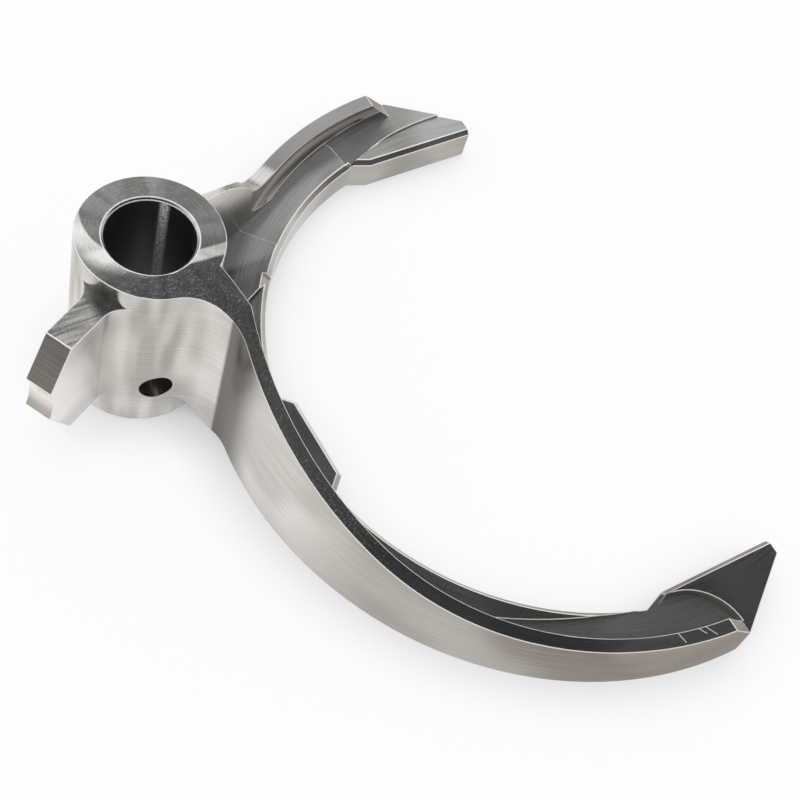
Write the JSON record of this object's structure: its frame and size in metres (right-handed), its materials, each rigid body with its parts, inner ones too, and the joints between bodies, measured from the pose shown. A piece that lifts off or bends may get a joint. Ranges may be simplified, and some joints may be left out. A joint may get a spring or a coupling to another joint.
{
  "type": "transmission shift fork",
  "caption": "Machined steel shift fork: a crescent with sleeve pads on a bored hub that slides on the shift rail, with a selector lug.",
  "frame": {"origin": "on the axis of the rail bore, at the plane of the underside", "axes": "+Z along the rail bore, up from the underside; +X towards the open mouth of the fork; +Y across the fork, towards the arm that starts beside the ledge"},
  "size_m": [0.1159, 0.1347, 0.0382],
  "materials": {
    "machined_steel": "fine milled and deburred bare steel, satin to bright"
  },
  "bodies": {
    "root": {"shift_fork": "machined_steel"}
  },
  "joints": []
}
